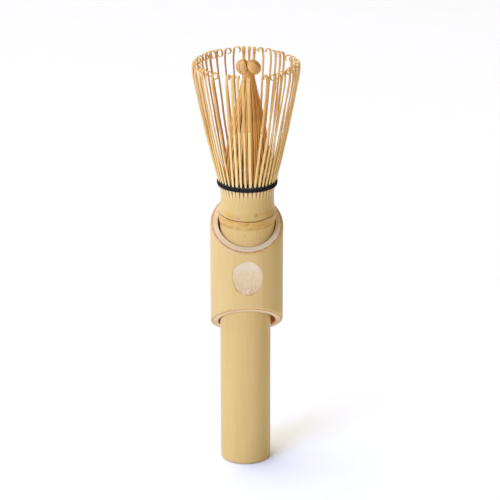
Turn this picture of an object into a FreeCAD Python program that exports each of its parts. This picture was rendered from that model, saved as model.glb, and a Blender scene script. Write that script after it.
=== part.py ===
# Bamboo tea whisk: a split and shaved bamboo whisk head on a slim culm, with a
# larger bamboo sleeve pushed over the handle up to the node.
# Millimetres. +Z up, the handle's cut end stands on z = 0, the thumb patch faces -Y.
import FreeCAD, Part
import math
import os

V = FreeCAD.Vector
os.makedirs("parts", exist_ok=True)

# ---------------------------------------------------------------- driving dimensions
HANDLE_R = 11.6            # handle, outer radius
HANDLE_BORE_R = 7.9        # natural hollow of the internode
HANDLE_BORE_END = 117.4    # underside of the node wall
FOOT_EDGE = 0.5            # rounded edge of the cut end
HEAD_X = 0.85              # the culm kinks a little at its node: head axis offset
SHANK_START = 80.0         # start of the offset towards the head axis
SHANK_END = 108.0
NODE_WALL_TOP = 120.2
NECK_BORE_R = 9.4
NECK_TOP = 136.9           # foot of the tines
# outer radius of the head end of the culm against height
NECK_PROFILE = [(108.0, 12.0), (113.5, 12.1), (115.6, 12.45), (116.8, 12.85),
                (118.6, 12.95), (120.0, 13.0), (120.35, 13.12), (120.8, 13.02),
                (121.6, 12.75), (124.0, 12.35), (127.5, 12.1), (131.0, 12.15),
                (133.4, 12.55), (134.1, 12.75), (136.45, 12.75), (136.5, 13.5),
                (136.9, 13.5)]

SLEEVE_R = 16.65           # sleeve, outer radius
SLEEVE_BORE_R = 13.1
SLEEVE_C = (0.60, 0.20)    # centre of the outer surface
SLEEVE_BORE_C = (0.62, 0.50)
SLEEVE_TOP_Z, SLEEVE_TOP_DEG, SLEEVE_TOP_SX = 115.4, 29.0, -0.032
SLEEVE_LOW_Z, SLEEVE_LOW_DEG, SLEEVE_LOW_SX = 67.7, 36.5, 0.030
SLEEVE_EDGE = 0.55         # sanded outer edges
PATCH_Z = 94.9             # middle of the thumb patch
PATCH_DEPTH = 1.5
PATCH_R = 20.8             # curvature of the patch along the sleeve
PATCH_TURN = 1.0           # degrees round the sleeve

THREAD_Z = (134.2, 136.4)  # outer row of the binding
THREAD_R = (12.8, 13.6)
THREAD_IN_R, THREAD_IN_r, THREAD_IN_Z = 12.15, 0.32, 137.75

TINE_COUNT = 42
TINE_Z0 = 137.05
TINE_R0 = 13.2
TINE_LEN = 46.8            # straight length up to the bend
TINE_R1 = 23.85            # radius of the ring of tines at the bend
TINE_BASE_AZ = -2.9        # azimuth of tine 0 from the front, degrees
TINE_W = (1.18, 1.05, 0.74, 0.62)   # width: foot, under and over the shave line, bend
TINE_T = (0.66, 0.50, 0.36, 0.30)   # thickness at the same places
SHAVE_S = 27.2             # shave line, from the foot
HEAD_TOP_SHIFT = -0.45     # the ring of tips leans by this much in x

INNER_COUNT = 40
INNER_HALF_DEG = 3.4
INNER_PROFILE = [(136.9, 10.3, 11.3), (153.0, 8.2, 9.25), (167.5, 5.7, 6.85),
                 (175.0, 3.8, 5.0), (185.6, 1.2, 2.5)]
INNER_LEAN_DEG = 0.55
KNOT_C = (1.35, 0.0, 189.0)
KNOT_R = 3.2
KNOT_HALF = 2.1

# tip azimuth where it differs from the base azimuth, degrees; curl radius and
# sweep, and height offset, per tine index n = -20 ... 21
TIP_AZ = {-20: -177.4, -19: -165.6, -18: -156.0, -17: -146.2, -16: -137.6,
          -15: -131.0, -14: -124.5, -13: -114.6, -12: -106.4, -11: -97.4,
          -10: -89.4, -9: -80.6, -8: -69.6, -7: -59.2, -6: -53.6, -5: -48.0,
          -4: -38.4, -3: -20.4, -2: -14.6, -1: -9.2, 0: -3.8, 1: 2.4,
          2: 22.6, 3: 32.4, 4: 39.2, 5: 45.6, 6: 53.2, 7: 60.2, 8: 67.0,
          9: 74.4, 10: 82.4, 11: 91.2, 12: 100.6, 13: 111.4, 14: 121.0,
          15: 134.0, 16: 139.8, 17: 145.6, 18: 151.6, 19: 160.6, 20: 171.4,
          21: 176.8}
BASE_SHIFT = {1: 0.3, 2: 1.1, 3: 0.9, 4: 0.6}
CURL_R = {-10: 2.15, -9: 1.9, -8: 1.7, -16: 1.85, -17: 1.9, -18: 1.5, -19: 1.75,
          -3: 1.7, -2: 1.8, 2: 1.7, 3: 1.5, 4: 1.6, 7: 1.9, 8: 2.0, 11: 2.0,
          18: 1.7, 17: 1.6, 19: 1.5, 1: 1.1, 0: 1.2}
CURL_SWEEP = {-10: 290, -16: 285, -17: 290, -18: 285, -19: 250, 19: 215, 18: 190,
              3: 285, 4: 285, 5: 250, 2: 240, 11: 230, 7: 290, 8: 285}
TIP_DZ = {-10: -0.4, -9: -0.4, -8: -1.0, -19: 0.5, -18: 0.3, 19: 0.5,
          18: 0.3, 1: -0.3, 0: -0.6, 11: 0.5, 10: 0.3, 21: 0.5, -20: 0.6, 20: 0.4,
          7: 0.2, 8: 0.2, 14: -0.3, 6: 0.2}
TINE_WIDE = {1: 1.35}      # width factor


def out(shape, name):
    shape.exportStep(os.path.join("parts", name + ".step"))
    print("%-16s solids %2d  volume %9.2f  valid %s" % (
        name, len(shape.Solids), shape.Volume, shape.isValid()))


def revolved(points, x=0.0):
    wire = Part.makePolygon([V(x + r, 0, z) for r, z in points + points[:1]])
    return Part.Face(wire).revolve(V(x, 0, 0), V(0, 0, 1), 360)


def circle(r, z, x=0.0, y=0.0):
    return Part.Wire([Part.makeCircle(r, V(x, y, z))])


# ---------------------------------------------------------------- culm
def culm():
    handle = revolved([(0, 0), (HANDLE_R - FOOT_EDGE, 0), (HANDLE_R - 0.15, 0.15),
                       (HANDLE_R, FOOT_EDGE), (HANDLE_R, SHANK_START), (0, SHANK_START)])
    shank = Part.makeLoft([circle(HANDLE_R, SHANK_START),
                           circle(NECK_PROFILE[0][1], SHANK_END, HEAD_X)], True, True)
    head = revolved([(0, NECK_PROFILE[0][0])] + [(r, z) for z, r in NECK_PROFILE]
                    + [(0, NECK_TOP)], HEAD_X)
    body = handle.fuse([shank, head])
    bore = Part.makeCylinder(HANDLE_BORE_R, HANDLE_BORE_END + 1, V(0, 0, -1))
    mouth = Part.makeCone(HANDLE_BORE_R + 0.4, HANDLE_BORE_R, 0.4)
    neck = Part.makeCylinder(NECK_BORE_R, NECK_TOP - NODE_WALL_TOP + 1,
                             V(HEAD_X, 0, NODE_WALL_TOP))
    return body.cut([bore, mouth, neck]).removeSplitter()


# ---------------------------------------------------------------- sleeve
def half_space(z0, deg, sx, above):
    """A thick slab on one side of the slanted cut z = z0 + tan(deg) y + sx x."""
    n = V(-sx, -math.tan(math.radians(deg)), 1).normalize()
    slab = Part.makeBox(120, 120, 60, V(-60, -60, 0 if above else -60))
    slab.Placement = FreeCAD.Placement(V(0, 0, z0), FreeCAD.Rotation(V(0, 0, 1), n))
    return slab


def sleeve():
    lo, hi = 50.0, 130.0
    tube = Part.makeCylinder(SLEEVE_R, hi - lo, V(SLEEVE_C[0], SLEEVE_C[1], lo))
    tube = tube.cut(half_space(SLEEVE_TOP_Z, SLEEVE_TOP_DEG, SLEEVE_TOP_SX, True))
    tube = tube.cut(half_space(SLEEVE_LOW_Z, -SLEEVE_LOW_DEG, SLEEVE_LOW_SX, False))
    rims = [e for e in tube.Edges if e.Curve.TypeId != "Part::GeomLine"]
    tube = tube.makeFillet(SLEEVE_EDGE, rims)
    bore = Part.makeCylinder(SLEEVE_BORE_R, hi - lo, V(SLEEVE_BORE_C[0], SLEEVE_BORE_C[1], lo))
    tube = tube.cut(bore)
    dish = Part.makeCylinder(PATCH_R, 60, V(-30, 0, 0), V(1, 0, 0))
    dish.Placement = FreeCAD.Placement(
        V(0, -(SLEEVE_R - PATCH_DEPTH + PATCH_R), PATCH_Z), FreeCAD.Rotation()).multiply(dish.Placement)
    turn = FreeCAD.Placement(V(SLEEVE_C[0], SLEEVE_C[1], 0), FreeCAD.Rotation(V(0, 0, 1), PATCH_TURN))
    dish.Placement = turn.multiply(dish.Placement)
    return tube.cut(dish)


# ---------------------------------------------------------------- binding thread
def thread():
    z0, z1 = THREAD_Z
    r0, r1 = THREAD_R
    zm = (z0 + z1) / 2
    pts = [(r0, z0 + 0.15), (r0 + 0.3, z0), (r1 - 0.25, z0 + 0.1), (r1, z0 + 0.5), (r1 - 0.05, zm),
           (r1, z1 - 0.5), (r1 - 0.25, z1 - 0.1), (r0 + 0.3, z1), (r0, z1 - 0.15)]
    outer = revolved(pts, HEAD_X)
    inner = Part.makeTorus(THREAD_IN_R, THREAD_IN_r, V(HEAD_X, 0, THREAD_IN_Z))
    return Part.makeCompound([outer, inner])


# ---------------------------------------------------------------- outer tines
def az_point(az, r, z, x):
    a = math.radians(az)
    return V(x + r * math.sin(a), -r * math.cos(a), z)


def tine_data(n):
    base = TINE_BASE_AZ + 360.0 / TINE_COUNT * n + BASE_SHIFT.get(n, 0.0)
    tip = TIP_AZ.get(n, base)
    rise = TINE_LEN - 1.0 + TIP_DZ.get(n, 0.0)
    foot = az_point(base, TINE_R0, TINE_Z0, HEAD_X)
    bend = az_point(tip, TINE_R1, TINE_Z0 + rise, HEAD_X + HEAD_TOP_SHIFT)
    w = bend - foot
    length = w.Length
    w.normalize()
    mid = math.radians((base + tip) / 2)
    out_dir = V(math.sin(mid), -math.cos(mid), 0)
    nrm = out_dir - w * out_dir.dot(w)
    nrm.normalize()
    return foot, w, nrm, length, base


def arc_edge(cx, cy, r, a0, a1):
    """Arc through angles a0, a1 (degrees, either way round) about (cx, cy)."""
    am = math.radians((a0 + a1) / 2)
    p = [V(cx + r * math.cos(math.radians(a)), cy + r * math.sin(math.radians(a)), 0) for a in (a0, a1)]
    return Part.Arc(p[0], V(cx + r * math.cos(am), cy + r * math.sin(am), 0), p[1]).toShape()


def tine(n):
    foot, w, nrm, length, base = tine_data(n)
    t0, t1, t2, t3 = [t / 2 for t in TINE_T]
    f = TINE_WIDE.get(n, 1.0)
    w0, w1, w2, w3 = [x * f / 2 for x in TINE_W]
    # side view: x = outwards, y = along the tine; the curl turns towards -x
    ease_r, ease_deg = 30.0, 13.0
    rc = CURL_R.get(n, 1.75)
    sweep = CURL_SWEEP.get(n, 270)
    c1 = (-ease_r, length)
    a = math.radians(ease_deg)
    e = (c1[0] + ease_r * math.cos(a), c1[1] + ease_r * math.sin(a))
    c2 = (e[0] - rc * math.cos(a), e[1] - rc * math.sin(a))
    end = ease_deg + sweep
    edges = [Part.makeLine(V(t0, 0.18, 0), V(t1, SHAVE_S, 0)),
             Part.makeLine(V(t1, SHAVE_S, 0), V(t2, SHAVE_S + 0.6, 0)),
             Part.makeLine(V(t2, SHAVE_S + 0.6, 0), V(t3, length, 0)),
             arc_edge(c1[0], c1[1], ease_r + t3, 0, ease_deg),
             arc_edge(c2[0], c2[1], rc + t3, ease_deg, end)]
    tip = math.radians(end)
    edges.append(Part.makeLine(
        V(c2[0] + (rc + t3) * math.cos(tip), c2[1] + (rc + t3) * math.sin(tip), 0),
        V(c2[0] + (rc - t3) * math.cos(tip), c2[1] + (rc - t3) * math.sin(tip), 0)))
    edges += [arc_edge(c2[0], c2[1], rc - t3, end, ease_deg),
              arc_edge(c1[0], c1[1], ease_r - t3, ease_deg, 0),
              Part.makeLine(V(-t3, length, 0), V(-t2, SHAVE_S + 0.6, 0)),
              Part.makeLine(V(-t2, SHAVE_S + 0.6, 0), V(-t1, SHAVE_S, 0)),
              Part.makeLine(V(-t1, SHAVE_S, 0), V(-t0, 0.18, 0)),
              Part.makeLine(V(-t0, 0.18, 0), V(-t0 + 0.18, 0, 0)),
              Part.makeLine(V(-t0 + 0.18, 0, 0), V(t0 - 0.18, 0, 0)),
              Part.makeLine(V(t0 - 0.18, 0, 0), V(t0, 0.18, 0))]
    side = Part.Face(Part.Wire(edges)).extrude(V(0, 0, 3))
    side.translate(V(0, 0, -1.5))
    # front view: y = along the tine, z = across
    front = Part.Face(Part.makePolygon([
        V(0, 0, -w0), V(0, SHAVE_S, -w1), V(0, SHAVE_S + 0.6, -w2), V(0, length, -w3),
        V(0, length + 12, -w3), V(0, length + 12, w3), V(0, length, w3),
        V(0, SHAVE_S + 0.6, w2), V(0, SHAVE_S, w1), V(0, 0, w0), V(0, 0, -w0)])).extrude(V(12, 0, 0))
    front.translate(V(-9, 0, 0))
    blade = side.common(front)
    # place: local x -> outwards, y -> along, z -> across
    z = nrm.cross(w)
    m = FreeCAD.Matrix(nrm.x, w.x, z.x, foot.x, nrm.y, w.y, z.y, foot.y,
                       nrm.z, w.z, z.z, foot.z, 0, 0, 0, 1)
    solid = blade.Solids[0] if blade.Solids else blade
    solid.Placement = FreeCAD.Placement(m)
    return solid


# ---------------------------------------------------------------- inner tines
def inner_tines():
    prof = ([(ro, z) for z, ri, ro in INNER_PROFILE]
            + [(ri, z) for z, ri, ro in reversed(INNER_PROFILE)])
    face = Part.Face(Part.makePolygon([V(r, 0, z) for r, z in prof + prof[:1]]))
    one = face.revolve(V(0, 0, 0), V(0, 0, 1), 2 * INNER_HALF_DEG)
    strips = []
    for k in range(INNER_COUNT):
        s = one.copy()
        s.rotate(V(0, 0, 0), V(0, 0, 1), k * 360.0 / INNER_COUNT + 2.0)
        s.rotate(V(0, 0, NECK_TOP), V(0, 1, 0), INNER_LEAN_DEG)
        s.translate(V(HEAD_X, 0, 0.12))
        strips.append(s)
    return Part.makeCompound(strips)


def inner_knot():
    x, y, z = KNOT_C
    left = Part.makeSphere(KNOT_R, V(x - KNOT_HALF, y, z))
    right = Part.makeSphere(KNOT_R, V(x + KNOT_HALF, y, z))
    mid = Part.makeCylinder(KNOT_R - 0.15, 2 * KNOT_HALF, V(x - KNOT_HALF, y, z), V(1, 0, 0))
    neck = Part.makeCylinder(2.3, 2.6, V(x, y, 185.78))
    return left.fuse([right, mid, neck]).removeSplitter()


out(culm(), "culm")
out(sleeve(), "sleeve")
out(thread(), "binding_thread")
out(inner_tines(), "inner_tines")
out(inner_knot(), "inner_knot")
for number, n in enumerate(range(-20, 22), start=1):
    out(tine(n), "outer_tine_%02d" % number)
print("hinge points, millimetres")
for number, n in enumerate(range(-20, 22), start=1):
    p, w, nrm, length, base = tine_data(n)
    a = math.radians(base)
    print("HINGE %02d %.4f %.4f %.4f axis %.6f %.6f" % (
        number, p.x, p.y, TINE_Z0 - 0.05, math.cos(a), math.sin(a)))
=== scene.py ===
import math
import random

import bpy
import numpy as np
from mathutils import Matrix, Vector, noise


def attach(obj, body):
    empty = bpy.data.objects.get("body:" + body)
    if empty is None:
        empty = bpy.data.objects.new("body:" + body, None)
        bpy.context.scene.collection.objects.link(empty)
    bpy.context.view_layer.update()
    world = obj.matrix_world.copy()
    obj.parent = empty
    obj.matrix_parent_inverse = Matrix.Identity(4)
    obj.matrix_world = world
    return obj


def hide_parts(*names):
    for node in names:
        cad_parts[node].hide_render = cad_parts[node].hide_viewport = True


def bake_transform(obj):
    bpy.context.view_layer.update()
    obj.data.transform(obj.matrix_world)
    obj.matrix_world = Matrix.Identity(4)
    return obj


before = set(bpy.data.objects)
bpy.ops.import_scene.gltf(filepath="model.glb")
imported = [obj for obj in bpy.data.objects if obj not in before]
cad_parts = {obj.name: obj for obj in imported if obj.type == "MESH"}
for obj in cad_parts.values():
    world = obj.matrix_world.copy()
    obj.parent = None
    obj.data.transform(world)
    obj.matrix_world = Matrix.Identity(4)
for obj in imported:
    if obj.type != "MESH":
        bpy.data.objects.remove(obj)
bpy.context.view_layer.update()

MM = 0.001
random.seed(7)
col = bpy.context.scene.collection


# ------------------------------------------------------------------ numbers, millimetres, as in the CAD
HANDLE_R, HANDLE_BORE_R, HANDLE_BORE_END = 11.6, 7.9, 117.4
HEAD_X, SHANK_START, SHANK_END = 0.85, 80.0, 108.0
NODE_WALL_TOP, NECK_BORE_R = 120.2, 9.4
SLEEVE_R, SLEEVE_BORE_R = 16.65, 13.1
SLEEVE_C, SLEEVE_BORE_C = (0.60, 0.20), (0.62, 0.50)
TOP_Z, TOP_T, TOP_SX = 115.4, math.tan(math.radians(29.0)), -0.032
LOW_Z, LOW_T, LOW_SX = 67.7, -math.tan(math.radians(36.5)), 0.030
PATCH_Z, PATCH_DEPTH, PATCH_R, PATCH_TURN = 94.9, 1.5, 20.8, 1.0
COUNT, TINE_Z0, TINE_R0, TINE_LEN, TINE_R1 = 42, 137.05, 13.2, 46.8, 23.25
BASE_AZ, SHAVE_S, HEAD_TOP_SHIFT = -2.9, 27.2, -0.45
TIP_AZ = {-20: -177.4, -19: -165.6, -18: -156.0, -17: -146.2, -16: -137.6,
          -15: -131.0, -14: -124.5, -13: -114.6, -12: -106.4, -11: -97.4,
          -10: -89.4, -9: -80.6, -8: -69.6, -7: -59.2, -6: -53.6, -5: -48.0,
          -4: -38.4, -3: -21.4, -2: -14.9, -1: -8.7, 0: -3.2, 1: 2.8,
          2: 22.6, 3: 32.4, 4: 39.2, 5: 45.6, 6: 53.2, 7: 60.2, 8: 67.0,
          9: 74.4, 10: 82.4, 11: 91.2, 12: 100.6, 13: 111.4, 14: 121.0,
          15: 134.0, 16: 139.8, 17: 145.6, 18: 151.6, 19: 160.6, 20: 171.4,
          21: 176.8}
BASE_SHIFT = {1: 0.3, 2: 1.1, 3: 0.9, 4: 0.6}
CURL_R = {-10: 2.15, -9: 1.9, -8: 1.7, -15: 2.0, -16: 2.15, -17: 2.1, -18: 1.5, -19: 1.75,
          -3: 1.7, -2: 1.8, 2: 1.7, 3: 1.5, 4: 1.6, 7: 1.9, 8: 2.0, 11: 2.0,
          18: 1.7, 17: 1.6, 19: 1.5, 1: 1.1, 0: 1.2}
CURL_SWEEP = {-10: 330, -16: 300, -17: 340, -18: 300, -19: 250, 19: 215, 18: 190,
              3: 300, 4: 300, 5: 250, 2: 240, 11: 230, 7: 320, 8: 290}
TIP_DZ = {-10: -0.4, -9: -0.4, -8: -1.0, -19: 0.5, -18: 0.3, 19: 0.5,
          18: 0.3, 1: -0.3, 0: -0.6, 11: 0.5, 10: 0.3, 21: 0.5, -20: 0.6, 20: 0.4,
          7: 0.2, 8: 0.2, 14: -0.3, 6: 0.2}
CURL_TWIST = {-3: -6, -2: 0, -1: 2, 0: 0, 1: -8, 2: 12, -19: 46, -18: 38, -17: 14, 19: -34,
              3: 24, 4: 14, 5: 20, 6: -10, 18: -28, 17: -16, 16: 8, 15: 4, -20: -4, 21: 6, 20: 12,
              -4: -20, -5: -22, -6: 8, -7: 16, -15: -6, -14: 4}
CURL_WIDE = {-3: 1.45, -2: 1.4, -13: 1.3, -12: 1.3, -1: 1.1, 0: 1.3, 2: 1.8, -10: 1.9, -9: 1.8, -8: 1.7, -20: 1.75, 21: 1.4, 20: 1.4,
             19: 1.6, 18: 1.4, -19: 1.6, -18: 1.6, 15: 1.3, 16: 1.3, -15: 1.35, -14: 1.35, 4: 1.3, 5: 1.4}
CURL_DRIFT = {-13: 1, -12: -1, -3: 1, -2: 0, -1: 0, 0: -1, -20: -1, 21: 0, 15: 1, 16: -1, -15: 1, -14: -1, 4: 1, 5: -1, 19: 1, 20: 1}


def rnd(*key):
    """A steady random number in -1 ... 1 for this key."""
    return random.Random(" ".join(str(k) for k in key)).uniform(-1, 1)


# ------------------------------------------------------------------ meshes
def mesh_object(name, verts, faces, mats, face_mats=None, smooth=True, attrs=None):
    me = bpy.data.meshes.new(name)
    me.from_pydata([Vector(v) * MM for v in verts], [], faces)
    for m in mats:
        me.materials.append(m)
    if face_mats is not None:
        me.polygons.foreach_set("material_index", face_mats)
    me.polygons.foreach_set("use_smooth", [smooth] * len(me.polygons))
    for key, values in (attrs or {}).items():
        a = me.attributes.new(key, "FLOAT_VECTOR", "POINT")
        a.data.foreach_set("vector", np.array(values, np.float32).ravel())
    me.validate()
    me.update()
    ob = bpy.data.objects.new(name, me)
    col.objects.link(ob)
    return ob


def grid_faces(rows, cols, start=0, wrap=True, flip=False):
    faces = []
    n = cols if wrap else cols - 1
    for i in range(rows - 1):
        for j in range(n):
            a, b = start + i * cols + j, start + i * cols + (j + 1) % cols
            c, d = b + cols, a + cols
            faces.append((a, d, c, b) if flip else (a, b, c, d))
    return faces


class Strips:
    """Gathers thin strips, each swept along a path, into one mesh."""

    def __init__(self):
        self.v, self.f, self.m, self.rib = [], [], [], []

    def add(self, path, normals, width, thick, key=0.0, skin_until=None, crown=0.12, tip=True, mat0=0, s0=0.0):
        """path: points; normals: outward directions; width, thick: a number per point.
        Faces on the outward side get material mat0 + 1 while s < skin_until."""
        path = [Vector(p) for p in path]
        n = len(path)
        s, run = [s0], s0
        for a, b in zip(path, path[1:]):
            run += (b - a).length
            s.append(run)
        start = len(self.v)
        k = 10
        for i in range(n):
            t = (path[min(i + 1, n - 1)] - path[max(i - 1, 0)]).normalized()
            nn = Vector(normals[i])
            nn = (nn - t * nn.dot(t)).normalized()
            b = t.cross(nn)
            w, d = width[i] / 2, thick[i] / 2
            e = min(0.3 * w, 0.45 * d)
            ring = [(-w + e, d * (1 - crown)), (-w * 0.45, d), (w * 0.45, d), (w - e, d * (1 - crown)), (w, d - 1.5 * e),
                    (w, -d + e), (w - e, -d), (-w + e, -d), (-w, -d + e), (-w, d - 1.5 * e)]
            for x, y in ring:
                self.v.append(path[i] + b * x + nn * y)
                self.rib.append((s[i], x, key))
        for i in range(n - 1):
            for j in range(k):
                a, b2 = start + i * k + j, start + i * k + (j + 1) % k
                self.f.append((a, a + k, b2 + k, b2))
                outer = j in (0, 1, 2)
                if skin_until is None:
                    self.m.append(mat0)
                else:
                    self.m.append(mat0 + ((1 if s[i] < skin_until else 2) if outer else 0))
        self.f.append(tuple(start + j for j in range(k)))
        self.m.append(mat0)
        self.f.append(tuple(start + (n - 1) * k + j for j in reversed(range(k))))
        self.m.append(mat0)
        return s

    def make(self, name, mats):
        ob = mesh_object(name, self.v, self.f, mats, self.m, True, {"rib": self.rib})
        return ob


# ------------------------------------------------------------------ materials
def srgb(r, g, b):
    def f(c):
        c /= 255
        return c / 12.92 if c <= 0.04045 else ((c + 0.055) / 1.055) ** 2.4
    return (f(r), f(g), f(b), 1)


class Nodes:
    def __init__(self, name):
        self.mat = bpy.data.materials.new(name)
        self.mat.use_nodes = True
        self.t = self.mat.node_tree
        self.bsdf = self.t.nodes["Principled BSDF"]

    def node(self, kind, **kw):
        n = self.t.nodes.new(kind)
        for k, v in kw.items():
            setattr(n, k, v)
        return n

    def link(self, a, b):
        self.t.links.new(a, b)

    def coords(self):
        return self.node("ShaderNodeTexCoord").outputs["Object"]

    def rib(self):
        return self.node("ShaderNodeAttribute", attribute_name="rib").outputs["Vector"]

    def scaled(self, vec, scale):
        m = self.node("ShaderNodeMapping")
        m.inputs["Scale"].default_value = scale
        self.link(vec, m.inputs["Vector"])
        return m.outputs["Vector"]

    def noise(self, vec, scale, detail=3.0, rough=0.55, distort=0.0):
        n = self.node("ShaderNodeTexNoise")
        n.inputs["Scale"].default_value = 1.0
        n.inputs["Detail"].default_value = detail
        n.inputs["Roughness"].default_value = rough
        n.inputs["Distortion"].default_value = distort
        self.link(self.scaled(vec, scale), n.inputs["Vector"])
        return n.outputs["Fac"]

    def voronoi(self, vec, scale, feature="F1", rand=1.0):
        n = self.node("ShaderNodeTexVoronoi", feature=feature)
        n.inputs["Scale"].default_value = 1.0
        n.inputs["Randomness"].default_value = rand
        self.link(self.scaled(vec, scale), n.inputs["Vector"])
        return n.outputs["Distance"]

    def ramp(self, fac, lo, hi, a=0.0, b=1.0):
        n = self.node("ShaderNodeMapRange")
        n.clamp = True
        for k, v in zip(("From Min", "From Max", "To Min", "To Max"), (lo, hi, a, b)):
            n.inputs[k].default_value = v
        self.link(fac, n.inputs["Value"])
        return n.outputs["Result"]

    def math(self, op, a, b=None):
        n = self.node("ShaderNodeMath", operation=op)
        for i, x in enumerate((a, b)):
            if x is None:
                continue
            if isinstance(x, (int, float)):
                n.inputs[i].default_value = x
            else:
                self.link(x, n.inputs[i])
        return n.outputs["Value"]

    def mix(self, fac, a, b, mode="MIX"):
        n = self.node("ShaderNodeMix", data_type="RGBA", blend_type=mode)
        if isinstance(fac, (int, float)):
            n.inputs["Factor"].default_value = fac
        else:
            self.link(fac, n.inputs["Factor"])
        for sock, x in ((n.inputs[6], a), (n.inputs[7], b)):
            if isinstance(x, tuple):
                sock.default_value = x
            else:
                self.link(x, sock)
        return n.outputs[2]

    def xyz(self, vec):
        n = self.node("ShaderNodeSeparateXYZ")
        self.link(vec, n.inputs[0])
        return n.outputs

    def finish(self, colour, rough, height=None, strength=0.3, distance=0.0001, spec=None, coat=None, coat_rough=None, sss=None):
        self.link(colour, self.bsdf.inputs["Base Color"])
        if isinstance(rough, (int, float)):
            self.bsdf.inputs["Roughness"].default_value = rough
        else:
            self.link(rough, self.bsdf.inputs["Roughness"])
        if spec is not None:
            self.bsdf.inputs["Specular IOR Level"].default_value = spec
        if coat is not None:
            self.bsdf.inputs["Coat Weight"].default_value = coat
            self.bsdf.inputs["Coat Roughness"].default_value = coat_rough
        if height is not None:
            bump = self.node("ShaderNodeBump")
            bump.inputs["Strength"].default_value = strength
            bump.inputs["Distance"].default_value = distance
            self.link(height, bump.inputs["Height"])
            self.link(bump.outputs["Normal"], self.bsdf.inputs["Normal"])
        return self.mat


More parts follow.
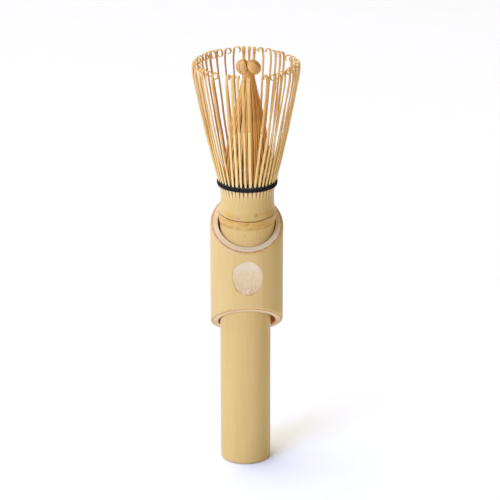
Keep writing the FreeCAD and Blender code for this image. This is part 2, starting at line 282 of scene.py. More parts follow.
def bamboo_skin(name, base, pale, streak, rough=0.36, kind=None):
    """Waxed culm skin: long fine fibre streaks, faint blotches, a few pin marks.
    kind "culm" adds the node line and the roots of the tines, with a painted highlight on their rounded crowns, partly
    pale scraped wood, and painted shade in the kerfs between them; "sleeve" the sanded thumb patch and the bevelled
    edges. Both are laid out in attribute mark."""
    n = Nodes(name)
    co = n.coords()
    broad = n.noise(co, (70, 70, 11), 2.0, 0.5)
    fibre = n.noise(co, (1500, 1500, 18), 4.0, 0.62)
    fine = n.noise(co, (4200, 4200, 60), 2.0, 0.6)
    c = n.mix(n.ramp(broad, 0.35, 0.65), base, pale)
    c = n.mix(n.ramp(fibre, 0.52, 0.80, 0.0, 0.42), c, streak)
    c = n.mix(n.ramp(fine, 0.52, 0.75, 0.0, 0.14), c, streak)
    pin = n.voronoi(co, (170, 170, 60))
    c = n.mix(n.ramp(pin, 0.050, 0.012, 0.0, 0.55), c, srgb(150, 100, 48))
    h = n.math("ADD", n.math("MULTIPLY", fibre, 0.7), n.math("MULTIPLY", fine, 0.3))
    r = n.ramp(fibre, 0.3, 0.8, rough - 0.05, rough + 0.10)
    mark = n.xyz(n.node("ShaderNodeAttribute", attribute_name="mark").outputs["Vector"])
    if kind == "culm":
        z = mark[2]
        wrinkle = n.noise(co, (260, 260, 900), 3.0, 0.6)
        node = n.math("SUBTRACT", z, 120.36)
        band = n.math("MULTIPLY", n.ramp(node, -5.2, -3.6), n.ramp(node, 0.3, -0.3))
        c = n.mix(n.math("MULTIPLY", band, n.ramp(wrinkle, 0.40, 0.62, 0.25, 0.85)), c, srgb(200, 148, 60))
        low = n.math("ABSOLUTE", n.math("ADD", node, 3.75))
        c = n.mix(n.math("MULTIPLY", n.ramp(low, 0.45, 0.1), n.ramp(wrinkle, 0.42, 0.58, 0.10, 0.75)), c, srgb(166, 110, 50))
        over = n.ramp(n.math("ABSOLUTE", n.math("SUBTRACT", node, 1.5)), 2.6, 0.3)
        stain = n.noise(co, (150, 150, 190), 2.0, 0.5)
        c = n.mix(n.math("MULTIPLY", over, n.ramp(stain, 0.42, 0.60, 0.0, 0.80)), c, srgb(204, 148, 52))
        line = n.ramp(n.math("ABSOLUTE", node), 0.42, 0.16)
        c = n.mix(n.math("MULTIPLY", line, n.ramp(n.noise(co, (120, 120, 40), 2.0), 0.3, 0.55, 0.72, 1.0)), c, srgb(136, 82, 32))
        for x0, y0, z0, size in ((4.9, -11.5, 122.9, 1.5), (-3.2, -12.3, 121.9, 0.9), (9.6, -8.9, 118.6, 0.8), (1.0, -12.6, 119.3, 1.3), (7.4, 10.0, 123.4, 1.2)):
            off = n.node("ShaderNodeVectorMath", operation="DISTANCE")
            n.link(co, off.inputs[0])
            off.inputs[1].default_value = (x0 * MM, y0 * MM, z0 * MM)
            spot = n.math("MULTIPLY", n.ramp(off.outputs["Value"], size * MM, 0.15 * size * MM), n.ramp(n.noise(co, (900, 900, 1100), 3.0, 0.6), 0.30, 0.52))
            c = n.mix(n.math("MULTIPLY", spot, 0.85), c, srgb(190, 120, 30))
        # mark x: painted highlight on the rounded tine roots, partly pale scraped wood; mark y: painted shade in the
        # kerfs
        c = n.mix(n.math("MULTIPLY", mark[0], 0.85), c, srgb(230, 200, 130))
        c = n.mix(n.math("MULTIPLY", mark[1], 0.80), c, srgb(166, 100, 34))
        dark_end = n.ramp(z, 1.2, 0.0, 0.0, 0.45)
        c = n.mix(dark_end, c, srgb(178, 132, 74))
        h = n.math("ADD", h, n.math("MULTIPLY", n.math("MULTIPLY", band, wrinkle), 0.9))
    if kind == "sleeve":
        grain = n.noise(co, (3200, 3200, 130), 4.0, 0.68)
        cells = n.voronoi(co, (1900, 1900, 420))
        fuzz = n.noise(co, (900, 900, 900), 3.0, 0.65)
        pc = n.mix(n.ramp(grain, 0.35, 0.68), srgb(224, 197, 150), srgb(212, 176, 120))
        pc = n.mix(n.ramp(cells, 0.28, 0.08, 0.0, 0.16), pc, srgb(196, 150, 98))
        pc = n.mix(n.ramp(fuzz, 0.45, 0.70, 0.0, 0.30), pc, srgb(234, 210, 166))
        zz = n.xyz(co)[2]
        pc = n.mix(n.ramp(zz, 0.0965, 0.0990, 0.0, 0.5), pc, srgb(220, 201, 166))
        pc = n.mix(n.math("MULTIPLY", n.ramp(n.math("ABSOLUTE", n.math("SUBTRACT", zz, 0.0935)), 0.0040, 0.0010), 0.45), pc, srgb(222, 188, 128))
        foot = n.math("MULTIPLY", n.ramp(zz, 0.0922, 0.0874), n.ramp(n.noise(co, (1300, 1300, 120), 3.0, 0.6), 0.44, 0.60))
        pc = n.mix(n.math("MULTIPLY", foot, 0.55), pc, srgb(198, 142, 76))
        push = mark[0]
        inside = n.ramp(push, 0.015, 0.07)
        c = n.mix(inside, c, pc)
        edge = n.math("MULTIPLY", n.ramp(push, 0.002, 0.03), n.ramp(push, 0.26, 0.08))
        lit = n.ramp(n.math("ADD", n.xyz(co)[0], n.math("MULTIPLY", n.math("SUBTRACT", zz, 0.095), 0.8)), 0.004, -0.005, 0.25, 1.0)
        patchy = n.math("MULTIPLY", lit, n.ramp(n.noise(co, (300, 300, 240), 2.0, 0.6), 0.34, 0.55, 0.25, 0.95))
        c = n.mix(n.math("MULTIPLY", edge, patchy), c, srgb(186, 128, 60))
        r = n.mix(inside, r, (0.68, 0.68, 0.68, 1))
        h = n.math("ADD", h, n.math("MULTIPLY", n.math("MULTIPLY", inside, n.math("ADD", grain, fuzz)), 1.1))
    return n.finish(c, r, h, 0.25, 0.00007, spec=0.24, coat=0.06, coat_rough=0.30)


def bamboo_cut(name, base, pale, dot, rough=0.62, patch=120):
    """Sanded end of a culm: the fibre bundles run along Z, so they show as dots here and as streaks on a steep face."""
    n = Nodes(name)
    co = n.coords()
    broad = n.noise(co, (patch, patch, patch * 0.4), 3.0, 0.6)
    cell = n.voronoi(co, (1500, 1500, 150))
    fibre = n.noise(co, (2600, 2600, 160), 3.0, 0.65)
    c = n.mix(n.ramp(broad, 0.3, 0.7), base, pale)
    c = n.mix(n.ramp(cell, 0.30, 0.12, 0.0, 0.42), c, dot)
    c = n.mix(n.ramp(fibre, 0.48, 0.75, 0.0, 0.30), c, dot)
    h = n.math("ADD", n.math("MULTIPLY", cell, 0.5), n.math("MULTIPLY", fibre, 0.6))
    return n.finish(c, n.ramp(fibre, 0.3, 0.8, rough - 0.06, rough + 0.12), h, 0.35, 0.00010, spec=0.3)


def bamboo_strip(name, base, pale, streak, rough=0.5, amount=0.5, painted_bottom_shade=None):
    """Split bamboo: colour runs along the strip, each strip a little different."""
    n = Nodes(name)
    rib = n.rib()
    s, x, key = n.xyz(rib)
    comb = n.node("ShaderNodeCombineXYZ")
    n.link(n.math("MULTIPLY", s, 0.05), comb.inputs[0])
    n.link(n.math("MULTIPLY", x, 5.5), comb.inputs[1])
    n.link(n.math("MULTIPLY", key, 17.3), comb.inputs[2])
    fibre = n.noise(comb.outputs[0], (1, 1, 1), 4.0, 0.6)
    comb2 = n.node("ShaderNodeCombineXYZ")
    n.link(n.math("MULTIPLY", s, 0.035), comb2.inputs[0])
    n.link(n.math("MULTIPLY", key, 9.1), comb2.inputs[1])
    tone = n.noise(comb2.outputs[0], (1, 1, 1), 2.0, 0.5)
    c = n.mix(n.ramp(tone, 0.3, 0.7), base, pale)
    c = n.mix(n.ramp(fibre, 0.46, 0.74, 0.0, amount), c, streak)
    # optional painted shade: the tone darkens towards the foot of the strip (small s), deep inside the basket
    if painted_bottom_shade is not None:
        c = n.mix(n.ramp(s, painted_bottom_shade[0], painted_bottom_shade[1], 0.0, painted_bottom_shade[2]), c, painted_bottom_shade[3])
    return n.finish(c, n.ramp(fibre, 0.3, 0.8, rough - 0.08, rough + 0.1), fibre, 0.3, 0.00005, spec=0.4)


M_SKIN = bamboo_skin("culm_skin", srgb(209, 172, 97), srgb(216, 181, 108), srgb(186, 141, 66), kind="culm")
M_SLEEVE = bamboo_skin("sleeve_skin", srgb(209, 172, 98), srgb(216, 181, 110), srgb(186, 142, 72), rough=0.40, kind="sleeve")
M_CUT = bamboo_cut("cut_end", srgb(216, 188, 142), srgb(228, 204, 160), srgb(192, 148, 96))
M_RIM = bamboo_cut("skin_edge", srgb(186, 122, 54), srgb(212, 166, 104), srgb(146, 88, 34), rough=0.5, patch=420)
M_BEVEL = bamboo_cut("edge_bevel", srgb(208, 170, 108), srgb(220, 188, 134), srgb(192, 138, 76), rough=0.5, patch=300)
M_BORE = bamboo_cut("bore_wall", srgb(214, 142, 66), srgb(224, 160, 82), srgb(172, 100, 36), rough=0.7)
M_WOOD = bamboo_strip("tine_wood", srgb(218, 164, 76), srgb(230, 184, 98), srgb(188, 124, 42))
M_TSKIN = bamboo_strip("tine_skin", srgb(228, 196, 118), srgb(236, 208, 133), srgb(204, 158, 76), rough=0.38, amount=0.35)
M_TOP = bamboo_strip("tine_shaved", srgb(212, 158, 72), srgb(228, 182, 96), srgb(186, 124, 44), rough=0.40, amount=0.40)
M_INNER = bamboo_strip("inner_wood", srgb(204, 136, 48), srgb(232, 178, 88), srgb(158, 86, 16), amount=0.6)
# inner_skin carries painted shade towards the foot of the inner tines
M_ISKIN = bamboo_strip("inner_skin", srgb(222, 158, 66), srgb(236, 184, 94), srgb(178, 104, 28), rough=0.45, amount=0.5, painted_bottom_shade=(16.0, 0.0, 0.22, srgb(186, 104, 28)))
M_KNOT = bamboo_strip("knot_wood", srgb(210, 148, 60), srgb(240, 198, 118), srgb(164, 94, 26), amount=0.60)
# crease material: painted shade along the crevice between the two knot lobes
M_CREASE_SHADE = bamboo_strip("knot_crease_shade", srgb(160, 90, 26), srgb(176, 104, 36), srgb(116, 60, 14), amount=0.6)
# the cores' dark brown is painted shade, seen in the gaps between strips and in the crevice between the lobes
M_CORE_SHADE = bamboo_strip("knot_core_shade", srgb(120, 66, 22), srgb(140, 80, 30), srgb(80, 40, 12), amount=0.6)


def thread_material():
    n = Nodes("black_thread")
    rib = n.rib()
    s, x, key = n.xyz(rib)
    comb = n.node("ShaderNodeCombineXYZ")
    n.link(n.math("MULTIPLY", s, 3.0), comb.inputs[0])
    n.link(n.math("MULTIPLY", x, 14.0), comb.inputs[1])
    n.link(key, comb.inputs[2])
    lint = n.noise(comb.outputs[0], (1, 1, 1), 4.0, 0.7)
    c = n.mix(n.ramp(lint, 0.35, 0.75), srgb(14, 13, 12), srgb(46, 43, 38))
    return n.finish(c, n.ramp(lint, 0.3, 0.8, 0.62, 0.85), lint, 0.6, 0.00012, spec=0.25)


M_THREAD = thread_material()


# ------------------------------------------------------------------ outer tines
def az_point(az, r, z, x):
    a = math.radians(az)
    return Vector((x + r * math.sin(a), -r * math.cos(a), z))


def tine_frame(n):
    base = BASE_AZ + 360.0 / COUNT * n + BASE_SHIFT.get(n, 0.0)
    tip = TIP_AZ.get(n, base)
    rise = TINE_LEN - 1.0 + TIP_DZ.get(n, 0.0)
    foot = az_point(base, TINE_R0, TINE_Z0, HEAD_X)
    bend = az_point(tip, TINE_R1, TINE_Z0 + rise, HEAD_X + HEAD_TOP_SHIFT)
    w = bend - foot
    length = w.length
    w.normalize()
    mid = math.radians((base + tip) / 2)
    out = Vector((math.sin(mid), -math.cos(mid), 0))
    nrm = (out - w * out.dot(w)).normalized()
    return foot, w, nrm, length, base


def smooth(t):
    t = max(0.0, min(1.0, t))
    return t * t * (3 - 2 * t)


def tine_path(n):
    foot, w, nrm, length, base = tine_frame(n)
    side = nrm.cross(w)
    bow_n, bow_b = 0.30 + 0.16 * rnd("bn", n), 0.16 * rnd("bb", n)
    wob = [rnd("w", n, k) * 0.045 for k in range(4)]
    pts, nrms, s = [], [], []
    twist = math.radians(CURL_TWIST.get(n, 9 * rnd("tw", n)))
    # foot: drops straight down behind the binding
    a = math.radians(base)
    out = Vector((math.sin(a), -math.cos(a), 0))
    for z, r in ((134.3, 12.62), (135.2, 12.64), (135.9, 12.80), (136.5, 13.04)):
        pts.append(Vector((HEAD_X, 0, z)) + out * r)
        nrms.append(out.copy())
        s.append(z - TINE_Z0)
    steps = 34
    for i in range(steps):
        t = i / (steps - 1)
        d = length * t
        q = math.sin(math.pi * t)
        off_n = bow_n * q + 0.03 * math.sin(7 * t * math.pi + n)
        off_b = bow_b * q + sum(wob[k] * math.sin((k + 2) * math.pi * t + n * 1.7) for k in range(4)) * min(1, 4 * (1 - t))
        pts.append(foot + w * d + nrm * off_n + side * off_b)
        tw = twist * smooth((d - length + 16) / 16)
        nrms.append(nrm * math.cos(tw) - side * math.sin(tw))
        s.append(d)
    # easing bend, then the curl
    c = -(nrm * math.cos(twist) - side * math.sin(twist))
    t0 = w.copy()
    p = pts[-1].copy()
    ease = math.radians(13.0)
    lat = t0.cross(c)
    steps = 6
    for i in range(1, steps + 1):
        th = ease * (i - 0.5) / steps
        d = 30.0 * ease / steps
        p = p + (t0 * math.cos(th) + c * math.sin(th)) * d
        th = ease * i / steps
        pts.append(p.copy())
        nrms.append(-c * math.cos(th) + t0 * math.sin(th))
        s.append(s[-1] + d)
    rc = CURL_R.get(n, 1.75) * (1 + 0.06 * rnd("rc", n))
    sweep = math.radians(CURL_SWEEP.get(n, 270 + 45 * rnd("sw", n)))
    shrink = 0.72 + 0.1 * rnd("sh", n)
    drift = 0.55 * CURL_DRIFT.get(n, 1 if rnd("dr", n) > 0 else -1)
    steps = max(18, int(math.degrees(sweep) / 9))
    for i in range(1, steps + 1):
        u = (i - 0.5) / steps
        th = ease + sweep * u
        r = rc * (1 - (1 - shrink) * u)
        d = r * sweep / steps
        p = p + (t0 * math.cos(th) + c * math.sin(th)) * d + lat * (drift * sweep / steps / (2 * math.pi))
        th = ease + sweep * i / steps
        pts.append(p.copy())
        nrms.append(-c * math.cos(th) + t0 * math.sin(th))
        s.append(s[-1] + d)
    return pts, nrms, s, length


def lerp_table(x, table):
    for (a, va), (b, vb) in zip(table, table[1:]):
        if x <= b:
            return va + (vb - va) * max(0.0, min(1.0, (x - a) / (b - a)))
    return table[-1][1]


TINE_WIDE = {1: 1.45, -10: 1.15, -9: 1.2, -8: 1.15, -3: 1.1, -2: 1.2, 3: 1.1, 6: 1.15, 8: 1.15, 11: 1.1}
for number, n in enumerate(range(-20, 22), start=1):
    pts, nrms, s, length = tine_path(n)
    f = TINE_WIDE.get(n, 1.0) * (1 + 0.08 * rnd("wf", n))
    shave = SHAVE_S + 0.45 * rnd("sv", n)
    end = s[-1]
    wt = [(-3, 0.9), (-1.1, 0.84), (-0.4, 1.0), (1.0, 1.06), (12, 1.0), (shave, 0.96), (shave + 1.2, 0.94), (length - 4, 0.96), (length, 1.0)]
    tt = [(-3, 0.40), (-1.0, 0.50), (0.4, 0.70), (shave - 0.2, 0.60), (shave + 0.7, 0.50), (length, 0.44), (length + 6, 0.38), (end, 0.28)]
    # the curl flares, then narrows to its tip
    g = CURL_WIDE.get(n, 1.48 + 0.26 * rnd("cw", n))
    top = length + 6.8 + 2.4
    ct = [(length - 3, 0.0), (top - 1.5, 0.8), (top + 0.6, 1.0), (top + 2.2, 0.80), (max(end - 2.4, top + 2.4), 0.50), (end - 0.6, 0.25), (end, 0.0)]
    width = []
    for x in s:
        w0 = lerp_table(x, wt) * (f if x < length else 1.0 + (f - 1) * 0.4)
        k = lerp_table(x, ct)
        w0 = w0 + (g - 1.0) * k if x < top else (0.50 + (g - 0.50) * max(0.0, k))
        width.append(w0)
    thick = [lerp_table(x, tt) for x in s]
    # the shaved part is cut back from its skin side
    pts = [p - Vector(nn) * 0.07 * smooth((x - shave) / 0.8) for p, nn, x in zip(pts, nrms, s)]
    st = Strips()
    st.add(pts, nrms, width, thick, key=number, skin_until=shave, s0=s[0])
    ob = st.make("tine_%02d" % number, [M_WOOD, M_TSKIN, M_TOP])
    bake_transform(ob)
    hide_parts("outer_tine_%02d" % number)


# ------------------------------------------------------------------ culm: handle, node and neck
PROFILE = [(0.0, 11.05), (0.12, 11.3), (0.3, 11.47), (0.6, 11.57), (1.2, 11.6), (40, 11.62), (80, 11.6), (92, 11.72), (102, 12.2), (108.0, 12.32),
           (113.0, 12.36), (114.6, 12.42), (115.8, 12.52), (116.8, 12.82), (118.0, 12.93), (119.2, 12.96), (119.9, 13.0),
           (120.2, 13.04), (120.38, 12.93), (120.55, 13.02), (120.8, 12.98), (121.2, 12.85), (122.0, 12.62),
           (123.4, 12.36), (125.5, 12.18), (128.0, 12.08), (130.5, 12.12), (132.2, 12.32), (133.4, 12.6), (134.2, 12.78),
           (135.0, 12.85), (135.7, 12.8)]


def spline_table(x, table):
    """Monotone cubic through the table."""
    xs = [a for a, b in table]
    ys = [b for a, b in table]
    if x <= xs[0]:
        return ys[0]
    if x >= xs[-1]:
        return ys[-1]
    i = max(k for k in range(len(xs) - 1) if xs[k] <= x)
    h = [xs[k + 1] - xs[k] for k in range(len(xs) - 1)]
    d = [(ys[k + 1] - ys[k]) / h[k] for k in range(len(xs) - 1)]

    def slope(k):
        if k == 0 or k == len(xs) - 1 or d[k - 1] * d[k] <= 0:
            return 0.0 if 0 < k < len(xs) - 1 else (d[0] if k == 0 else d[-1])
        w1, w2 = 2 * h[k] + h[k - 1], h[k] + 2 * h[k - 1]
        return (w1 + w2) / (w1 / d[k - 1] + w2 / d[k])
    m0, m1 = slope(i), slope(i + 1)
    t = (x - xs[i]) / h[i]
    return ((2 * t**3 - 3 * t * t + 1) * ys[i] + (t**3 - 2 * t * t + t) * h[i] * m0
            + (-2 * t**3 + 3 * t * t) * ys[i + 1] + (t**3 - t * t) * h[i] * m1)


def head_x(z):
    return HEAD_X * max(0.0, min(1.0, (z - SHANK_START) / (SHANK_END - SHANK_START)))


TINE_AZ = [BASE_AZ + 360.0 / COUNT * n + BASE_SHIFT.get(n, 0.0) for n in range(-20, 22)]
KERF_AZ = sorted((TINE_AZ[k] + (TINE_AZ[(k + 1) % COUNT] + (360 if k == COUNT - 1 else 0))) / 2 % 360 for k in range(COUNT))


def culm():
    # azimuths: an even spread, with close lines at each kerf
    az = []
    for k in range(COUNT):
        a, b = KERF_AZ[k], KERF_AZ[(k + 1) % COUNT] + (360 if k == COUNT - 1 else 0)
        az += [a, a + 0.22, a + 0.5, a + 1.1]
        inner = 7
        az += [a + 1.1 + (b - a - 2.2) * i / inner for i in range(1, inner)]
        az += [b - 1.1, b - 0.5, b - 0.22]
    cols = len(az)
    zs = [0, 0.12, 0.3, 0.6, 1.2, 3] + [3 + 5.0 * i for i in range(1, 22)]
    zs += [110, 112, 113, 114, 114.8, 115.6, 116.2, 116.8, 117.4, 118, 118.6, 119.2, 119.7, 120.0, 120.2, 120.3, 120.38,
           120.46, 120.55, 120.7, 120.9, 121.2, 121.6, 122, 122.6, 123.4, 124.4, 125.5, 126.8, 128, 129, 130]
    zs += [130.5 + 0.25 * i for i in range(0, 21)]
    verts, faces, mats, marks = [], [], [], []
    for z in zs:
        r0 = spline_table(z, PROFILE)
        for k, a in enumerate(az):
            ph = math.radians(a)
            x, y = math.sin(ph), -math.cos(ph)
            lump = 0.05 * noise.noise(Vector((x * 1.1, y * 1.1, z * 0.012))) + 0.025 * noise.noise(Vector((x * 4, y * 4, z * 0.01 + 5)))
            r = r0 + lump
            near = abs(z - 118)
            if near < 4:
                r += 0.07 * (1 - near / 4) * noise.noise(Vector((x * 3, y * 3, 2.0 + z * 0.2)))
            kk = min(range(COUNT), key=lambda i: abs((a - KERF_AZ[i] + 180) % 360 - 180))
            da = abs((a - KERF_AZ[kk] + 180) % 360 - 180) * math.pi / 180 * r0
            depth_z = 131.9 - 1.5 * (0.5 + 0.5 * rnd("k", kk))
            root_highlight_and_scrape = dark = 0.0
            if z > depth_z - 2.5:
                grow = smooth((z - depth_z) / 2.0)
                half = 0.10 + 0.20 * smooth((z - depth_z) / 3.5)
                cut = smooth(1 - (da - half * 0.3) / (half + 0.06)) if da < half * 1.3 + 0.06 else 0.0
                r -= grow * 0.50 * cut
                # each root is rounded between its kerfs
                crown = 1 - (1 - min(1.0, da / 0.95)) ** 2
                r += grow * (0.16 * crown - 0.06)
                # the first mark is a painted highlight on each rounded root crown, partly pale scraped wood; dark is
                # painted shade in and along the kerfs
                tail = smooth((z - depth_z + 2.5) / 4.5)
                root_highlight_and_scrape = tail * smooth((da - 0.34) / 0.3)
                dark = smooth((z - depth_z + 1.2) / 2.2) * cut + 0.35 * tail * (1 - smooth(da / 0.4))
            warp = 1.35 * abs(x) ** 2.6 + 0.34 * noise.noise(Vector((x * 1.5 + 3, y * 1.5, 0.3))) + 0.16 * noise.noise(Vector((x * 5, y * 5, 4.0)))
            zw = z + warp * max(0.0, 1 - abs(z - 120.3) / 6.5)
            verts.append((head_x(z) + r * x, r * y, zw))
            marks.append((root_highlight_and_scrape, min(1.0, dark), z))
    rows = len(zs)
    faces += grid_faces(rows, cols)
    mats += [0] * len(faces)

    def ring(r, z, cx):
        base = len(verts)
        for a in az:
            ph = math.radians(a)
            verts.append((cx + r * math.sin(ph), -r * math.cos(ph), z))
        return base

    def join(a, b, mat):
        for j in range(cols):
            k = (j + 1) % cols
            faces.append((a + j, a + k, b + k, b + j))
            mats.append(mat)
    last = (rows - 1) * cols
    prev = last
    for r, z, m in ((12.2, 135.75, 1), (11.0, 135.8, 1), (9.5, 135.7, 1), (9.4, 135.2, 2), (9.38, 128.0, 2), (9.3, 121.4, 2),
                    (8.6, 120.5, 2), (6.0, 120.25, 2), (2.5, 120.3, 2)):
        b = ring(r, z, HEAD_X)
        join(prev, b, m)
        prev = b
    c = len(verts)
    verts.append((HEAD_X, 0, 120.35))
    for j in range(cols):
        faces.append((prev + j, prev + (j + 1) % cols, c))
        mats.append(2)
    # the hollow of the handle, from the foot up to the node wall
    prev = None
    seq = [(0.0, None), (0.02, 10.4), (0.03, 9.5), (0.05, 8.6), (0.2, 8.1), (0.6, 7.93), (8, 7.9), (40, 7.92), (80, 7.9), (110, 7.9),
           (115.8, 7.8), (117.0, 7.3), (117.35, 6.0), (117.3, 3.0)]
    prev = 0
    for z, r in seq:
        if r is None:
            continue
        b = ring(r, z if z > 0.04 else 0.0, 0)
        for j in range(cols):
            k = (j + 1) % cols
            faces.append((prev + k, prev + j, b + j, b + k))
            mats.append(1 if z < 0.3 else 2)
        prev = b
    c = len(verts)
    verts.append((0, 0, 117.25))
    for j in range(cols):
        faces.append((prev + (j + 1) % cols, prev + j, c))
        mats.append(2)
    marks += [(0, 0, v[2]) for v in verts[len(marks):]]
    return mesh_object("culm_body", verts, faces, [M_SKIN, M_CUT, M_BORE], mats, attrs={"mark": marks})


CULM = culm()
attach(CULM, "root")
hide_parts("culm")


# ------------------------------------------------------------------ sleeve
def sleeve():
    cols = 420
    az = [360.0 * i / cols for i in range(cols)]
    # closer columns over the patch
    az = sorted(set([round(a, 4) for a in az] + [round(-34 + 0.35 * i, 4) % 360 for i in range(196)]))
    out = [az[0]]
    for a in az[1:]:
        if a - out[-1] > 0.2:
            out.append(a)
    az = out
    cols = len(az)
    rows_wall = 190
    turn = math.radians(PATCH_TURN)
    verts, mats_row = [], []
    sections = []
    for a in az:
        ph = math.radians(a)
        dx, dy = math.sin(ph), -math.cos(ph)

        def outer(z):
            lump = 0.06 * noise.noise(Vector((dx * 1.3, dy * 1.3, z * 0.015 + 9))) + 0.02 * noise.noise(Vector((dx * 5, dy * 5, z * 0.01 + 3)))
            r = SLEEVE_R + lump - 0.03
            x, y = SLEEVE_C[0] + r * dx, SLEEVE_C[1] + r * dy
            # thumb patch: a shallow dish, its axis across the sleeve
            lx = (x - SLEEVE_C[0]) * math.cos(turn) + (y - SLEEVE_C[1]) * math.sin(turn)
            ly = -(x - SLEEVE_C[0]) * math.sin(turn) + (y - SLEEVE_C[1]) * math.cos(turn)
            dz = (z - PATCH_Z) * (0.90 if z < PATCH_Z else 1.0)
            if ly < 0 and abs(dz) < PATCH_R - 1:
                floor = -(SLEEVE_R - PATCH_DEPTH + PATCH_R) + math.sqrt(PATCH_R**2 - dz * dz)
                floor += 0.05 + 0.004 * lx + 0.13 * noise.noise(Vector((x * 0.30, 3.0, z * 0.26))) + 0.03 * noise.noise(Vector((x * 1.6, 7.0, z * 0.7)))
                gap = ly - floor
                if gap < 0.06:
                    k = 0.05
                    push = 0.5 * (-gap + math.sqrt(gap * gap + k * k)) if gap > -0.3 else -gap
                    y += push * math.cos(turn)
                    x -= push * math.sin(turn)
                    return x, y, push > 0.04, push
            return x, y, False, 0.0

        def inner(z):
            r = SLEEVE_BORE_R + 0.03 * noise.noise(Vector((dx * 2, dy * 2, z * 0.02 + 20)))
            return SLEEVE_BORE_C[0] + r * dx, SLEEVE_BORE_C[1] + r * dy

        def plane(x, y, top):
            if top:
                return TOP_Z + TOP_T * y + TOP_SX * x
            return LOW_Z + LOW_T * y + LOW_SX * x
        sec = []   # (x, y, z, material)
        xo, yo = outer(70 if dy > 0 else 118)[:2]
        xi, yi = inner(90)
        # use unlumped outer edge heights
        zt_o, zb_o = plane(xo, yo, True), plane(xo, yo, False)
        zt_i, zb_i = plane(xi, yi, True), plane(xi, yi, False)
        ro, ri = 1.25, 0.3
        if True:
            # outer wall from the lower edge to the upper edge
            z0, z1 = zb_o + ro, zt_o - ro
            for i in range(rows_wall):
                z = z0 + (z1 - z0) * i / (rows_wall - 1)
                x, y, inp, push = outer(z)
                sec.append((x, y, z, 0, push))

        def corner(p0, p1, p2, m, count=12):
            for i in range(1, count):
                t = i / count
                sec.append(tuple((1 - t) ** 2 * p0[k] + 2 * t * (1 - t) * p1[k] + t * t * p2[k] for k in range(3))
                           + (m[min(i - 1, len(m) - 1)], 0.0))

        def face_point(t, top):
            x, y = xo + (xi - xo) * t, yo + (yi - yo) * t
            return (x, y, plane(x, y, top))
        wall = math.dist((xo, yo), (xi, yi))
        side = math.sin(ph + 0.6)        # the paler sanded bevel shows on the left of the front
        bev = 3 if side < 0.52 + 0.26 * rnd("bv", int(math.degrees(ph) / 7)) else 0
        # upper outer edge
        x, y = outer(zt_o - ro)[:2]
        corner((x, y, zt_o - ro), (x, y, zt_o), face_point(ro / wall, True), (0, 0, bev, bev, bev, bev, bev, 1, 1, 1, 1))
        for i in range(0, 15):
            t = ro / wall + (1 - (ro + ri) / wall) * i / 14
            p = face_point(t, True)
            w = 0.025 * noise.noise(Vector((p[0] * 0.9, p[1] * 0.9, 1.0)))
            sec.append((p[0], p[1], p[2] + w, 2, 0.0))
        corner(face_point(1 - ri / wall, True), (xi, yi, zt_i), (xi, yi, zt_i - ri), (2, 2, 2, 4), 5)
        for i in range(0, 24):
            z = zt_i - ri + (zb_i + ri - zt_i + ri) * i / 23
            x, y = inner(z)
            sec.append((x, y, z, 4, 0.0))
        corner((xi, yi, zb_i + ri), (xi, yi, zb_i), face_point(1 - ri / wall, False), (4, 2, 2, 2), 5)
        for i in range(0, 15):
            t = 1 - ri / wall - (1 - (ro + ri) / wall) * i / 14
            p = face_point(t, False)
            w = 0.025 * noise.noise(Vector((p[0] * 0.9, p[1] * 0.9, 31.0)))
            sec.append((p[0], p[1], p[2] + w, 2, 0.0))
        x, y = outer(zb_o + ro)[:2]
        corner(face_point(ro / wall, False), (x, y, zb_o), (x, y, zb_o + ro), (1, 1, 1, 1, bev, bev, bev, bev, 0, 0))
        sections.append(sec)
    rows = len(sections[0])
    marks = []
    for sec in sections:
        verts += [p[:3] for p in sec]
        marks += [(p[4], 0, p[2]) for p in sec]
    faces, mats = [], []
    for i in range(cols):
        k = (i + 1) % cols
        for j in range(rows):
            l = (j + 1) % rows
            a, b, c, d = i * rows + j, k * rows + j, k * rows + l, i * rows + l
            faces.append((a, b, c, d))
            mats.append(max(sections[i][j][3], 0))
    return mesh_object("sleeve_body", verts, faces, [M_SLEEVE, M_RIM, M_CUT, M_BEVEL, M_BORE], mats, attrs={"mark": marks})


SLEEVE = sleeve()
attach(SLEEVE, "sleeve")
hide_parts("sleeve")


# ------------------------------------------------------------------ binding thread
def cord_ring(st, radius, height, cord_r, turns, phase, wave_r, wave_z, key):
    """A two-ply cord laid round the tines. It dips in between them and rides up there."""
    samples = turns * 14
    for ply in range(2):
        pts, nrms = [], []
        for i in range(samples + 1):
            a = 2 * math.pi * i / samples
            az = math.degrees(a)
            kk = min(range(COUNT), key=lambda k: abs((az - TINE_AZ[k] % 360 + 180) % 360 - 180))
            d = abs((az - TINE_AZ[kk] % 360 + 180) % 360 - 180) / (180.0 / COUNT)
            w = 0.5 - 0.5 * math.cos(math.pi * min(1.0, d))       # 0 on a tine, 1 between two
            r = radius - wave_r * w
            z = height + wave_z * (w - 0.5)
            out = Vector((math.sin(a), -math.cos(a), 0))
            th = turns * a + ply * math.pi + phase
            c = Vector((HEAD_X, 0, z)) + out * r
            off = out * math.cos(th) + Vector((0, 0, 1)) * math.sin(th)
            pts.append(c + off * cord_r * 0.52)
            nrms.append(off)
        tube(st, pts, nrms, cord_r * 0.56, key + ply)


